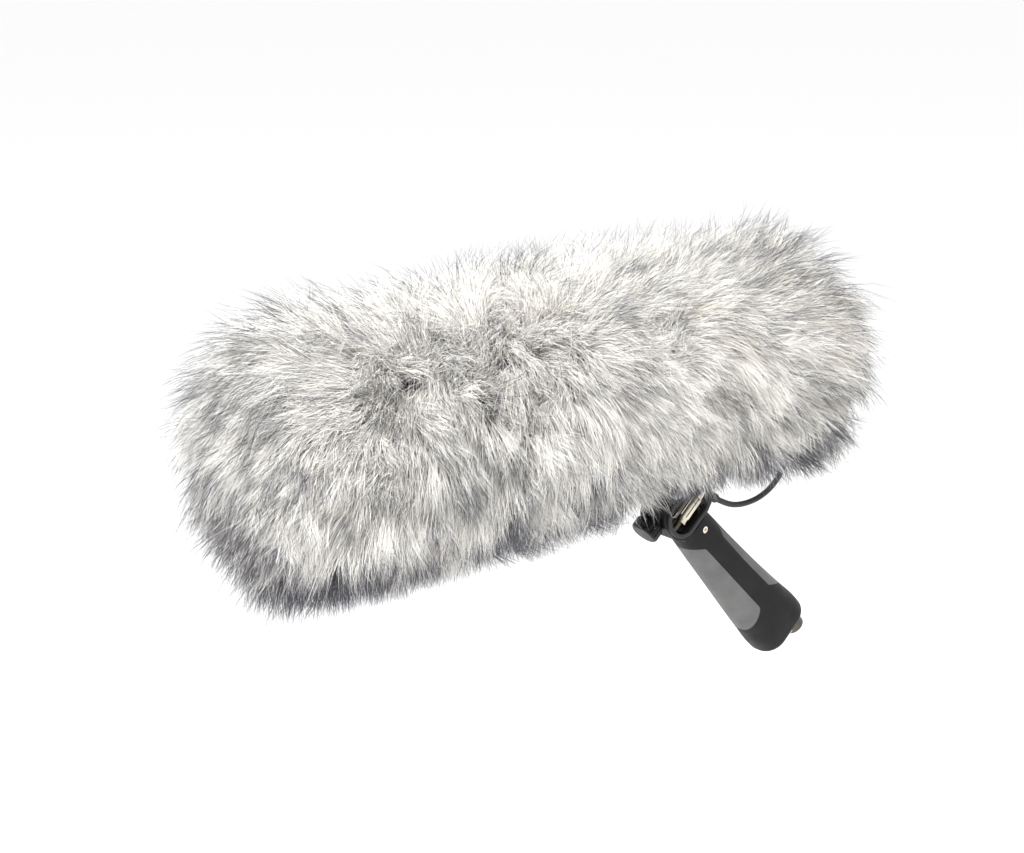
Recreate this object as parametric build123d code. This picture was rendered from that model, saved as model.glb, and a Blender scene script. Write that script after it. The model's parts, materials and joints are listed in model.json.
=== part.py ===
from build123d import *
import math
import os

# Furry windscreen on a pistol grip: a slotted basket in a long-pile jacket, hung on a tilting grip.
# Frame: the mouth of the boom socket in the grip's base is the origin, +X runs along the basket
# towards its rear, +Z is up. All sizes are in millimetres.

SNUG = 0.02  # play between pieces that are fixed to each other
EASY = 0.05  # play round a pipe, a rim or a washer
QUARTER = 0.5523  # handle length of the cubic curve that makes a quarter of an oval

# ---- grip: measured down from the hinge, in the grip's own upright frame ----
RAKE = 42.0  # how far the grip leans back from square to the basket, degrees
HINGE_BORE = 4.05
HINGE_PIN = 4.0
EYE_R = 11.5
HEAD_HALF_WIDTH = 14.0
WINDOW_DROP = 27.0  # the window's centre below the hinge
WINDOW_X = 1.5
WINDOW_LENGTH = 41.0
WINDOW_HEIGHT = 25.5
WINDOW_CORNER = 12.2
BLOCK_X = 2.0
BLOCK_LENGTH = 50.6
BLOCK_HEIGHT = 36.0
BLOCK_CORNER = 13.0
BEZEL_RIM = 3.8
BEZEL_THICKNESS = 1.8
KNOB_DROP = 16.7
KNOB_R = 11.0
KNOB_FACE = -24.0
KNOB_LENGTH = 11.0
CLAMP_SCREW_R = 2.9
CLAMP_SCREW_END = 22.0
BARREL_DROP = 32.0
BARREL_SIDE = 8.0
BARREL_R = 5.2
BARREL_FRONT = -10.0
BARREL_REAR = 24.5
SHELL_TOP = 46.0
SHELL_BOTTOM = 172.0
BASE_DROP = 201.0
SKIN = 1.8  # thickness of the soft inserts
STUD_R = 3.0
STUD_FRONT = -22.0
BARREL_FLUTES = 9
KNOB_FLUTES = 12
NECK_SCREW_X = 1.0
NECK_SCREW_DROP = 54.5
NECK_SCREW_SHANK = 1.5
NECK_SCREW_HEAD = 2.7
TANG_HALF_LENGTH = 9.0
TANG_HALF_WIDTH = 7.0
TANG_DROP = 72.0
SHELL_WALL = 4.0
# drop below the hinge, fore-aft centre, fore-aft width, side-to-side width
GRIP_SECTIONS = [
    (SHELL_TOP, -1.0, 33.0, 28.0),
    (65.0, -1.0, 35.5, 29.0),
    (110.0, -0.5, 41.0, 31.0),
    (150.0, 0.5, 47.0, 33.5),
    (SHELL_BOTTOM, 1.5, 50.5, 35.5),
]
SOCKET_X = 14.5
SOCKET_TIP = 216.0
SOCKET_R = 8.8
THREAD_R = 3.97  # tapping bore of the 3/8 inch, 16 per inch boom thread
THREAD_DEPTH = 13.0
XLR_X = -10.0
XLR_R = 9.5
XLR_BORE = 8.2
XLR_FLOOR = 184.0
XLR_TOP = 178.0
SOCKET_TOP = 186.0
CAP_SCREW_X = 3.0
CAP_SCREW_SIDE = 12.6
CAP_SCREW_SHANK = 1.5
CAP_SCREW_HEAD = 2.8
PIN_R = 1.2
PIN_LENGTH = 10.5
PIN_CIRCLE = 4.1

# ---- basket: about its own axis, X = 0 half-way along ----
HINGE_X = 111.0
HINGE_Z = -91.0
BASKET_HALF = 240.0
TUBE_FRONT = -170.0
TUBE_REAR = 217.0
CAGE_R = 56.0
CAGE_WALL = 2.0
POD_R = 58.0
POD_WALL = 2.2
RING_LENGTH = 8.0
SPIGOT_R = 52.7
SPIGOT_WALL = 2.3
GROOVE_R = 56.2
LUG_ANGLE = 24.0
MESH_T = 0.6
FRONT_TURN = 205.0  # where the front pod's dome begins, from the middle
SADDLE_FRONT = 62.0
SADDLE_REAR = 162.0
SADDLE_HALF = 22.0
SADDLE_BOTTOM = -70.0
LUG_GAP = 16.2
LUG_THICKNESS = 4.6
LUG_R = 10.0
RAIL_FRONT = -115.0
RAIL_REAR = 176.0
RAIL_TOP = -45.0
RAIL_HALF = 9.0
FLANGE = 3.5
RAIL_BOTTOM = -53.88
WEB_HALF = 3.0
SCREW_XS = (78.0, 112.0, 146.0)
PIN_END = LUG_GAP + LUG_THICKNESS + 2.2
CIRCLIP_R = 5.8
CAGE_BAYS = 7  # rows of windows along the basket
CAGE_RIBS = 14  # window places round it
CAGE_END = 12.0  # plain tube at each end
BAY_RIB = 7.0  # plain tube between two rows
WINDOW_WIDTH = 18.0
FLOOR_ANGLE = 40.0  # half of the plain strip along the floor, degrees
POD_SLOTS = 12
SCREW_R = 2.0

# ---- suspension ----
FRONT_HOOP_X = -70.0
REAR_HOOP_X = 62.0
HOOP_IN = 40.0
HOOP_OUT = 44.0
HOOP_LENGTH = 8.0
FOOT_HALF = 13.5
SLIDE_GAP = 0.3
CLIP_R = 10.5
CLIP_WALL = 2.4
CLIP_LENGTH = 12.0
CLIP_OPENING = 70.0
BAND_R = 1.5
PEG_LENGTH = 3.0
THUMB_R = 5.5
THUMB_LENGTH = 5.0
THUMB_FLUTES = 10
THUMB_SHANK = 2.0
DIAGONALS = (45, 135, 225, 315)

# ---- lead ----
LEAD_R = 2.3
PLUG_R = 9.4
PLUG_FRONT = 108.0
PLUG_REAR = 166.0
PLUG_Z = RAIL_TOP + PLUG_R + 0.4
BOOT_R = 3.7
BOOT_START = 11.0
GLAND_HOLE = 4.8
GLAND_SLEEVE = 4.5
GLAND_BOSS = 6.8
GLAND_LENGTH = 17.0
PLUG_TAIL = 16.0
PLUG_MOUTH_R = 7.9
PLUG_MOUTH_DEPTH = 20.0
# the free loop, from the grip's boot to the basket's gland, about the basket's axis
LEAD_ROUTE = [
    (171.9, 0, -113.9),
    (180.5, 0, -118.9),
    (192.6, 0, -123.9),
    (207.0, 0, -125.3),
    (221.5, 0, -123.4),
    (234.4, 0, -117.9),
    (244.3, 0, -108.8),
    (249.3, 0, -96.5),
    (246.0, 0, -84.8),
    (235.0, 0, -77.6),
    (221.5, 0, -77.4),
    (208.5, 0, -74.6),
    (201.0, 0, -64.0),
]
# the same lead inside the handle, in the grip's own frame, up to its turn behind the neck
HANDLE_ROUTE = [(-10.0, 0, -178.0), (-5.0, 0, -140.0), (-3.0, 0, -95.0), (0.5, 0, -64.0), (9.0, 0, -51.2)]
BOOT_LEG = 10.0  # from the boot's corner to its tip

# ---- fur jacket ----
JACKET_R = 58.7
JACKET_GAP = JACKET_R - POD_R
FUR_R = 101.0
FUR_HALF = 278.0
FUR_TURN = 226.0
FRONT_SEAM = -205.0
REAR_SEAM = 228.0
SLOT_FRONT = 50.0
SLOT_REAR = 178.0
SLOT_HALF = 27.0
LEAD_SLOT_FRONT = 190.0
LEAD_SLOT_REAR = 258.0
LEAD_SLOT_HALF = 8.0
BINDING = 5.0
BINDING_T = 3.0
STRIP_HALF = 12.0
STRIP_T = 1.3
STRIP_FRONT = -200.0
SLOT_CORNER = 16.0


def grip_frame():
    """The grip's upright frame, hinge at its origin, put where the boom socket's mouth is zero."""
    tilt = Rot(0, -RAKE, 0)
    mouth = tilt * Pos(SOCKET_X, 0, -SOCKET_TIP)
    return Pos(-mouth.position) * tilt


GRIP = grip_frame()
HINGE = GRIP.position
BASKET = Pos(HINGE.X - HINGE_X, 0, HINGE.Z - HINGE_Z)


# ---- small builders ----


def rod_x(radius, start, end, y=0.0, z=0.0):
    """A round bar along X."""
    return Pos((start + end) / 2, y, z) * Rot(0, 90, 0) * Cylinder(radius, end - start)


def rod_y(radius, start, end, x=0.0, z=0.0):
    """A round bar along Y."""
    return Pos(x, (start + end) / 2, z) * Rot(90, 0, 0) * Cylinder(radius, end - start)


def rod_z(radius, start, end, x=0.0, y=0.0):
    """A round bar along Z."""
    return Pos(x, y, (start + end) / 2) * Cylinder(radius, end - start)


def block(x0, x1, y0, y1, z0, z1):
    """A box from its corners."""
    middle = Pos((x0 + x1) / 2, (y0 + y1) / 2, (z0 + z1) / 2)
    return middle * Box(x1 - x0, y1 - y0, z1 - z0)


def ring_x(outer, inner, start, end):
    """A plain ring about X."""
    return rod_x(outer, start, end) - rod_x(inner, start - 1, end + 1)


def side_plate(outline, half):
    """A sketch of the side view, thickened to both sides of the middle plane."""
    return extrude(Plane.XZ * outline, half, both=True)


def outline(points):
    """A closed sketch through the points of a side view."""
    return make_face(Polyline(*points, close=True))


def half_profile(start, turn, tip, radius):
    """Half of a side view: straight from start to turn, then a quarter of an oval to tip."""
    straight = Polyline((tip, 0), (start, 0), (start, radius), (turn, radius))
    reach = turn + QUARTER * (tip - turn)
    dome = Bezier((turn, radius), (reach, radius), (tip, QUARTER * radius), (tip, 0))
    return make_face([*straight.edges(), *dome.edges()])


def band(start, end, inner, outer):
    """Half of a ring's side view."""
    return Pos(start, inner) * Rectangle(end - start, outer - inner, align=(Align.MIN, Align.MIN))


def spin(profile):
    """A half side view turned round X."""
    return revolve(Plane.XZ * profile, Axis.X)


def sector_x(outer, inner, start, end, middle, angle):
    """Part of a ring about X, angle degrees wide, its middle at the given angle from +Y."""
    ring = ring_x(outer, inner, start, end)
    wedge_points = [(0, 0)]
    for share in (-0.5, 0.0, 0.5):
        turn = math.radians(middle + share * angle)
        wedge_points.append((2 * outer * math.cos(turn), 2 * outer * math.sin(turn)))
    wedge = extrude(Plane.YZ * outline(wedge_points), 2000, both=True)
    return ring & wedge


def route_radii(points):
    """Each corner's arc, as large as its two runs allow."""
    radii = []
    for before, corner, after in zip(points, points[1:], points[2:]):
        run_in = Vector(*corner) - Vector(*before)
        run_out = Vector(*after) - Vector(*corner)
        half_turn = math.radians(run_in.get_angle(run_out) / 2)
        radii.append(0.45 * min(run_in.length, run_out.length) / math.tan(half_turn))
    return radii


def tube_along(points, radius, name=""):
    """A round tube along straight runs joined by tangent arcs."""
    radii = route_radii(points)
    path = FilletPolyline(*points, radius=radii)
    start = Plane(origin=path @ 0, z_dir=path % 0)
    tube = sweep(start * Circle(radius), path=path)
    if name:
        area = math.pi * radius**2
        print(name, "length", round(path.length, 1), "radii", [round(r, 1) for r in radii])
        print(name, "volume share", round(tube.volume / (area * path.length), 4))
    return tube


# ---- grip, in its own upright frame ----


def grip_body(inset):
    """The handle's oval form, drawn in by inset all round."""
    sketches = []
    for drop, centre, length, width in GRIP_SECTIONS:
        section = RectangleRounded(length - 2 * inset, width - 2 * inset, 0.46 * width - inset)
        sketches.append(Pos(centre, 0, -drop) * section)
    return loft(sketches)


def front_outline():
    """Side view of the front insert's field."""
    edge = [(-40, -54), (-18, -58), (-8.8, -66.5), (-5.8, -152.5), (-28, -168)]
    field = outline([*edge, (-40, -176)])
    inner_corners = [v for v in field.vertices() if v.X > -9]
    return fillet(inner_corners, 5)


def rear_outline():
    """Side view of the rear insert's field."""
    edge = [(40, -50), (15.4, -62), (9.3, -75), (10.2, -108.5), (12.6, -146), (26.6, -166)]
    return outline([*edge, (40, -185)])


def head_outline():
    """Side view of the head: hinge eye, window block and neck."""
    corner = BLOCK_CORNER
    window_block = Pos(BLOCK_X, -WINDOW_DROP) * RectangleRounded(BLOCK_LENGTH, BLOCK_HEIGHT, corner)
    web = outline([(-EYE_R, 0), (EYE_R, 0), (14, -16), (-14, -16)])
    neck = outline([(-21.5, -32), (15.5, -32), (14.0, -SHELL_TOP), (-17.5, -SHELL_TOP)])
    return Circle(EYE_R) + window_block + web + neck


def handle_lead_path():
    """The lead's way up the handle, out behind the neck and round to the boot's tip."""
    inward = GRIP.inverse() * BASKET
    tip = (inward * Pos(*LEAD_ROUTE[0])).position
    onward = (inward * Pos(*LEAD_ROUTE[1])).position
    corner = tip - (onward - tip).normalized() * BOOT_LEG
    return [*HANDLE_ROUTE, (corner.X, 0, corner.Z), (tip.X, 0, tip.Z)]


def window_sketch(grow=0.0):
    """The window's oval."""
    corner = WINDOW_CORNER + grow / 2
    oval = RectangleRounded(WINDOW_LENGTH + grow, WINDOW_HEIGHT + grow, corner)
    return Pos(WINDOW_X, -WINDOW_DROP) * oval


def grip_head():
    """Black head: split hinge eye over an oval window, with a tang down into the handle."""
    head = side_plate(head_outline(), HEAD_HALF_WIDTH)
    rims = [e for e in head.edges() if abs(abs(e.center().Y) - HEAD_HALF_WIDTH) < 0.01]
    head = chamfer(rims, 1.0)
    head += rod_x(8.2, KNOB_FACE + 0.4, -15, z=-KNOB_DROP)
    tang_height = TANG_DROP - SHELL_TOP
    tang = Box(2 * TANG_HALF_LENGTH, 2 * TANG_HALF_WIDTH, tang_height)
    head += Pos(0, 0, -SHELL_TOP - tang_height / 2) * tang
    head -= side_plate(window_sketch(), 40)
    head -= rod_y(HINGE_BORE, -40, 40)
    head -= block(-1, 1, -40, 40, -16, 0)
    head -= rod_x(CLAMP_SCREW_R + 0.1, -30, CLAMP_SCREW_END + 0.2, z=-KNOB_DROP)
    for side in (-1, 1):
        head -= rod_x(BARREL_R + SNUG, 12, BARREL_REAR + SNUG, side * BARREL_SIDE, -BARREL_DROP)
        head -= rod_x(STUD_R + SNUG, STUD_FRONT - SNUG, -15, side * BARREL_SIDE, -BARREL_DROP)
    head -= tube_along(handle_lead_path(), BOOT_R + EASY)
    head -= rod_y(NECK_SCREW_SHANK + 0.1, -40, 40, NECK_SCREW_X, -NECK_SCREW_DROP)
    return head


def window_bezel(side):
    """Raised rim round the window."""
    inner = window_sketch(0.6)
    outer = window_sketch(2 * BEZEL_RIM)
    ring = extrude(Plane.XZ * (outer - inner), -side * BEZEL_THICKNESS)
    ring = Pos(0, side * (HEAD_HALF_WIDTH + SNUG), 0) * ring
    face_y = side * (HEAD_HALF_WIDTH + SNUG + BEZEL_THICKNESS)
    rims = [e for e in ring.edges() if abs(e.center().Y - face_y) < 0.01]
    return fillet(rims, 0.7)


def clamp_barrels():
    """Two fluted barrels across the window, flared at the front end."""
    barrels = []
    for side in (-1, 1):
        y = side * BARREL_SIDE
        barrel = rod_x(BARREL_R, BARREL_FRONT, BARREL_REAR, y, -BARREL_DROP)
        for number in range(BARREL_FLUTES):
            angle = 2 * math.pi * number / BARREL_FLUTES
            groove_y = y + (BARREL_R + 0.5) * math.cos(angle)
            groove_z = -BARREL_DROP + (BARREL_R + 0.5) * math.sin(angle)
            barrel -= rod_x(1.1, BARREL_FRONT + 5.5, 14, groove_y, groove_z)
        flare = Pos(BARREL_FRONT + 1.6, y, -BARREL_DROP) * Rot(0, 90, 0) * Cone(5.9, BARREL_R, 3.2)
        barrels.append(barrel + flare)
    return Compound(children=barrels)


def barrel_studs():
    """Dark studs from the barrels into the front wall."""
    ends = (STUD_FRONT, BARREL_FRONT - SNUG)
    return Compound(children=[rod_x(STUD_R, *ends, s * BARREL_SIDE, -BARREL_DROP) for s in (-1, 1)])


def grip_shell(side, body, hollow, front, rear):
    """One half of the handle."""
    half = block(-60, 60, min(0, side * 60), max(0, side * 60), -SHELL_BOTTOM, -SHELL_TOP)
    shell = (body - hollow) & half
    shell -= front
    shell -= rear
    shell -= tube_along(handle_lead_path(), BOOT_R + EASY)
    if side < 0:
        shell -= rod_y(NECK_SCREW_HEAD + 0.1, -40, -11.8, NECK_SCREW_X, -NECK_SCREW_DROP)
        shell -= rod_y(NECK_SCREW_SHANK + 0.1, -40, 0, NECK_SCREW_X, -NECK_SCREW_DROP)
    return shell


def shell_screw():
    """The screw through the neck that closes the two halves."""
    x = NECK_SCREW_X
    z = -NECK_SCREW_DROP
    head = rod_y(NECK_SCREW_HEAD, -13.9, -12.0, x, z)
    socket = Pos(x, -13.4, z) * Rot(90, 0, 0) * extrude(RegularPolygon(1.3, 6), 1.0, both=True)
    return head - socket + rod_y(NECK_SCREW_SHANK, -12.1, -7.4, x, z)


def handle_hollow():
    """The room inside the handle, narrow at the neck where the head's tang sits."""
    room = grip_body(SHELL_WALL)
    room &= block(-60, 60, -60, 60, -SHELL_BOTTOM - 1, -76)
    length = TANG_HALF_LENGTH + 0.1
    width = TANG_HALF_WIDTH + 0.1
    room += block(-length, length, -width, width, -77, -SHELL_TOP + 1)
    return room


def end_cap():
    """Black flared base of the handle, open inside for the connector and the socket."""
    _, centre, length, width = GRIP_SECTIONS[-1]
    top = Pos(centre, 0, -SHELL_BOTTOM) * RectangleRounded(length, width, 0.46 * width)
    middle = Pos(centre + 0.8, 0, -190) * RectangleRounded(length + 2, width + 1, 16.5)
    base = Pos(centre + 1.2, 0, -BASE_DROP) * RectangleRounded(length + 1, width, 16.2)
    cap = loft([top, middle, base])
    bottom_rim = cap.faces().sort_by(Axis.Z)[0].edges()
    cap = fillet(bottom_rim, 7.0)
    cap -= rod_z(XLR_R + EASY, -BASE_DROP - 1, -XLR_TOP, XLR_X)
    cap -= rod_z(SOCKET_R + SNUG, -BASE_DROP - 1, -SOCKET_TOP, SOCKET_X)
    cap -= rod_z(4.5, -SOCKET_TOP - 1, -SHELL_BOTTOM + 1, SOCKET_X)
    cap -= rod_z(6.0, -XLR_TOP - 1, -SHELL_BOTTOM + 1, XLR_X + 1)
    for side in (-1, 1):
        place = (CAP_SCREW_X, side * CAP_SCREW_SIDE)
        cap -= rod_z(CAP_SCREW_SHANK + EASY, -BASE_DROP - 1, -SHELL_BOTTOM + 1, *place)
        cap -= rod_z(CAP_SCREW_HEAD + 0.1, -BASE_DROP - 1, -BASE_DROP + 3, *place)
    return cap


def cap_screws():
    """Two small screws up through the base."""
    screws = []
    for side in (-1, 1):
        place = (CAP_SCREW_X, side * CAP_SCREW_SIDE)
        head = rod_z(CAP_SCREW_HEAD, -BASE_DROP + 0.4, -BASE_DROP + 2.9, *place)
        recess = Pos(*place, -BASE_DROP + 0.9) * extrude(RegularPolygon(1.4, 6), 0.8, both=True)
        shank = rod_z(CAP_SCREW_SHANK, -BASE_DROP + 2.8, -SHELL_BOTTOM - 0.2, *place)
        screws.append(head - recess + shank)
    return Compound(children=screws)


def boom_socket():
    """Knurled metal spigot with the boom's threaded hole."""
    socket = rod_z(SOCKET_R, -SOCKET_TIP, -SOCKET_TOP - EASY, SOCKET_X)
    rim = socket.faces().sort_by(Axis.Z)[0].edges()
    socket = chamfer(rim, 1.2)
    socket -= rod_z(THREAD_R, -SOCKET_TIP - 1, -SOCKET_TIP + THREAD_DEPTH, SOCKET_X)
    socket -= rod_z(20, -206.6, -205.2, SOCKET_X) - rod_z(SOCKET_R - 0.9, -207, -205, SOCKET_X)
    return socket


def xlr_shell():
    """Metal shell of the output connector."""
    shell = rod_z(XLR_R, -BASE_DROP + 0.3, -XLR_TOP - EASY, XLR_X)
    shell -= rod_z(XLR_BORE, -BASE_DROP - 1, -XLR_FLOOR + 3, XLR_X)
    return shell - rod_z(5.0, -XLR_FLOOR, -170, XLR_X)


def xlr_insulator():
    """Black floor of the connector."""
    return rod_z(XLR_BORE - SNUG, -XLR_FLOOR, -XLR_FLOOR + 2.98, XLR_X) - xlr_pins(0.0)


def xlr_pins(gap=SNUG):
    """Three contact pins."""
    pins = []
    for angle in (90, 210, 330):
        x = XLR_X + PIN_CIRCLE * math.cos(math.radians(angle))
        y = PIN_CIRCLE * math.sin(math.radians(angle))
        pins.append(rod_z(PIN_R - gap, -XLR_FLOOR - PIN_LENGTH, -XLR_FLOOR + 2.9, x, y))
    return Compound(children=pins)


def lead_boot():
    """Rubber strain relief that turns the lead back as it leaves the neck."""
    outer = tube_along(handle_lead_path(), BOOT_R) - block(-80, BOOT_START, -20, 20, -200, 0)
    return outer - tube_along(handle_lead_path(), LEAD_R + SNUG)


def clamp_knob():
    """Round knob with finger flutes."""
    knob = rod_x(KNOB_R, KNOB_FACE - KNOB_LENGTH, KNOB_FACE, z=-KNOB_DROP)
    knob = fillet(knob.edges().filter_by(GeomType.CIRCLE), 2.6)
    flute_circle = KNOB_R + 1.2
    for number in range(KNOB_FLUTES):
        angle = 2 * math.pi * number / KNOB_FLUTES
        y = flute_circle * math.cos(angle)
        z = -KNOB_DROP + flute_circle * math.sin(angle)
        knob -= rod_x(1.9, KNOB_FACE - KNOB_LENGTH - 1, KNOB_FACE + 1, y, z)
    return knob - rod_x(CLAMP_SCREW_R + SNUG, KNOB_FACE - 9, KNOB_FACE + 1, z=-KNOB_DROP)


def clamp_screw():
    """Steel screw of the knob, across the window into the head's rear wall."""
    return rod_x(CLAMP_SCREW_R, KNOB_FACE - 8.9, CLAMP_SCREW_END, z=-KNOB_DROP)


# ---- basket, about its own axis ----


def saddle():
    """Base under the basket, with two lugs that carry the hinge pin."""
    base = block(SADDLE_FRONT, SADDLE_REAR, -SADDLE_HALF, SADDLE_HALF, SADDLE_BOTTOM, -44)
    base = fillet(base.edges().filter_by(Axis.Z), 10)
    base = chamfer(base.faces().sort_by(Axis.Z)[0].edges(), 2.5)
    base -= rod_x(CAGE_R + EASY, 0, 300)
    lug = outline(
        [
            (HINGE_X - LUG_R, HINGE_Z),
            (HINGE_X - 24, SADDLE_BOTTOM + 2),
            (HINGE_X + 24, SADDLE_BOTTOM + 2),
            (HINGE_X + LUG_R, HINGE_Z),
        ]
    )
    lug += Pos(HINGE_X, HINGE_Z) * Circle(LUG_R)
    both = side_plate(lug, LUG_GAP + LUG_THICKNESS) - side_plate(lug, LUG_GAP)
    base += both
    base -= rod_y(HINGE_PIN + 0.01, -40, 40, HINGE_X, HINGE_Z)
    for x in SCREW_XS:
        base -= rod_z(SCREW_R + SNUG, -67, -40, x)
    return base


def hinge_pin():
    """Steel pin with a groove for a circlip at each end."""
    pin = rod_y(HINGE_PIN, -PIN_END, PIN_END, HINGE_X, HINGE_Z)
    for side in (-1, 1):
        inner = LUG_GAP + LUG_THICKNESS + 0.2
        groove = rod_y(6, *sorted((side * inner, side * (inner + 0.9))), HINGE_X, HINGE_Z)
        pin -= groove - rod_y(3.2, -40, 40, HINGE_X, HINGE_Z)
    return pin


def pin_circlips():
    """A circlip in each groove of the hinge pin."""
    clips = []
    for side in (-1, 1):
        inner = LUG_GAP + LUG_THICKNESS + 0.25
        ends = sorted((side * inner, side * (inner + 0.8)))
        clip = rod_y(CIRCLIP_R, *ends, HINGE_X, HINGE_Z) - rod_y(3.25, -40, 40, HINGE_X, HINGE_Z)
        clips.append(clip - block(HINGE_X - 1.2, HINGE_X + 1.2, -40, 40, HINGE_Z - 8, HINGE_Z))
    return Compound(children=clips)


def cage_tube():
    """The basket's slotted middle, with a solid strip along its floor."""
    cage = ring_x(CAGE_R, CAGE_R - CAGE_WALL, TUBE_FRONT, TUBE_REAR)
    pitch = (TUBE_REAR - TUBE_FRONT - 2 * CAGE_END) / CAGE_BAYS
    windows = []
    for bay in range(CAGE_BAYS):
        x = TUBE_FRONT + CAGE_END + pitch * (bay + 0.5)
        for number in range(CAGE_RIBS):
            angle = 360 * number / CAGE_RIBS
            if abs(angle - 180) < FLOOR_ANGLE:
                continue
            window = Box(pitch - BAY_RIB, WINDOW_WIDTH, 6 * CAGE_WALL)
            windows.append(Rot(angle, 0, 0) * Pos(x, 0, CAGE_R) * window)
    cage -= windows
    for x in SCREW_XS:
        cage -= rod_z(SCREW_R + SNUG, -60, -50, x)
    axis = lead_gland_axis()
    return cage - axis * Cylinder(GLAND_HOLE, 40)


def cage_mesh():
    """Sheer acoustic cloth inside the middle of the basket."""
    outer = CAGE_R - CAGE_WALL - 0.05
    mesh = ring_x(outer, outer - MESH_T, TUBE_FRONT + 1, TUBE_REAR - 1)
    return mesh - block(-200, 240, -13, 13, -60, -40)


def end_ring(end):
    """Fixed twist-lock ring on the tube's end: an inner groove and three entry notches."""
    ring = ring_x(POD_R, CAGE_R + SNUG, end - 8, end)
    ring += ring_x(POD_R, SPIGOT_R + 0.3, end, end + RING_LENGTH)
    ring -= ring_x(GROOVE_R, SPIGOT_R, end + 2.4, end + 5.6)
    for middle in (30, 150, 270):
        ring -= sector_x(GROOVE_R, SPIGOT_R, end + 5, end + 9, middle, LUG_ANGLE + 4)
    return ring


def pod(end, turn, tip, dome_slots):
    """A domed end with its spigot, three locking lugs and slots."""
    start = end + RING_LENGTH + 0.3
    sleeve = SPIGOT_R - SPIGOT_WALL
    profile = half_profile(start, turn, tip, POD_R)
    profile -= half_profile(start - 1, turn, tip - POD_WALL, POD_R - POD_WALL)
    profile += band(start, start + 2.4, sleeve, POD_R - 1)
    profile += band(end + 0.6, start + 1, sleeve, SPIGOT_R)
    shell = spin(profile)
    for middle in (0, 120, 240):
        shell += sector_x(GROOVE_R - 0.3, SPIGOT_R - 0.5, end + 2.7, end + 5.3, middle, LUG_ANGLE)
    cuts = []
    for number in range(POD_SLOTS):
        spoke = Rot(360 * (number + 0.5) / POD_SLOTS, 0, 0)
        cuts.append(spoke * block(turn + 4, tip + 1, -3.2, 3.2, 17, dome_slots))
        if turn - start > 20:
            cuts.append(spoke * block(start + 6, turn - 3, -9, 9, POD_R - 8, POD_R + 4))
    return shell - cuts


def pod_mesh(end, turn, tip):
    """Sheer cloth inside a pod."""
    start = end + RING_LENGTH + 2.8
    gap = POD_WALL + EASY
    cloth = half_profile(start, turn, tip - gap, POD_R - gap)
    return spin(cloth - half_profile(start - 1, turn, tip - gap - MESH_T, POD_R - gap - MESH_T))


def to_front(shape):
    """The same piece at the basket's front end."""
    return mirror(shape, Plane.YZ)


def suspension_rail():
    """T-section rail along the basket's floor."""
    rail = block(RAIL_FRONT, RAIL_REAR, -RAIL_HALF, RAIL_HALF, RAIL_TOP - FLANGE, RAIL_TOP)
    rail += block(RAIL_FRONT, RAIL_REAR, -WEB_HALF, WEB_HALF, RAIL_BOTTOM, RAIL_TOP - FLANGE)
    for x in SCREW_XS:
        rail -= rod_z(SCREW_R + SNUG, -60, -40, x)
        rail -= rod_z(3.6, RAIL_TOP - 2.2, -40, x)
    return rail


def rail_screws():
    """Screws from the rail, through the basket, into the saddle."""
    screws = []
    for x in SCREW_XS:
        head = rod_z(3.5, RAIL_TOP - 2.2, RAIL_TOP - 0.2, x)
        head -= Pos(x, 0, RAIL_TOP - 0.6) * extrude(RegularPolygon(1.6, 6), 0.8, both=True)
        screws.append(head + rod_z(SCREW_R, -66, RAIL_TOP - 2.1, x))
    return Compound(children=screws)


def hoop(x):
    """Suspension ring with a sliding foot and four pegs."""
    start = x - HOOP_LENGTH / 2
    end = x + HOOP_LENGTH / 2
    ring = ring_x(HOOP_OUT, HOOP_IN, start, end)
    ring += block(start, end, -FOOT_HALF, FOOT_HALF, RAIL_TOP - FLANGE - 2.2, -HOOP_IN - 1)
    gap = SLIDE_GAP
    slot_low = RAIL_TOP - FLANGE - gap
    ring -= block(start - 1, end + 1, -RAIL_HALF - gap, RAIL_HALF + gap, slot_low, RAIL_TOP + gap)
    ring -= block(start - 1, end + 1, -WEB_HALF - gap, WEB_HALF + gap, -60, RAIL_TOP - 1)
    ring -= rod_z(THUMB_SHANK + EASY, RAIL_TOP - 1, -HOOP_IN + 2, x)
    for angle in DIAGONALS:
        ring += peg(x, angle, HOOP_IN - PEG_LENGTH, HOOP_IN + 1)
    return ring


def peg(x, angle, inner, outer):
    """A small round peg along a radius."""
    return Rot(angle, 0, 0) * rod_y(2.2, inner, outer, x, 0)


def clip(x):
    """Microphone clip: an open ring with four ears."""
    start = x - CLIP_LENGTH / 2
    end = x + CLIP_LENGTH / 2
    ring = ring_x(CLIP_R + CLIP_WALL, CLIP_R, start, end)
    ring -= sector_x(CLIP_R + CLIP_WALL + 1, 1, start - 1, end + 1, 90, CLIP_OPENING)
    for angle in DIAGONALS:
        ring += peg(x, angle, CLIP_R + CLIP_WALL - 0.6, CLIP_R + CLIP_WALL + PEG_LENGTH)
    return ring


def bands(x):
    """Four rubber bands between the clip's ears and the hoop's pegs."""
    inner = CLIP_R + CLIP_WALL + PEG_LENGTH
    outer = HOOP_IN - PEG_LENGTH
    spans = [Rot(a, 0, 0) * rod_y(BAND_R, inner, outer, x, 0) for a in DIAGONALS]
    return Compound(children=spans)


def thumb_screw(x):
    """Screw that locks a hoop on the rail, turned from inside the hoop."""
    low = -HOOP_IN + 0.8
    high = low + THUMB_LENGTH
    knob = rod_z(THUMB_R, low, high, x)
    knob = fillet(knob.edges().filter_by(GeomType.CIRCLE), 0.8)
    reach = THUMB_R + 0.4
    for number in range(THUMB_FLUTES):
        angle = 2 * math.pi * number / THUMB_FLUTES
        knob -= rod_z(0.9, low - 1, high + 1, x + reach * math.cos(angle), reach * math.sin(angle))
    return knob + rod_z(THUMB_SHANK, RAIL_TOP + 0.12, low + 1, x)


# ---- leads in the basket ----


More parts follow.
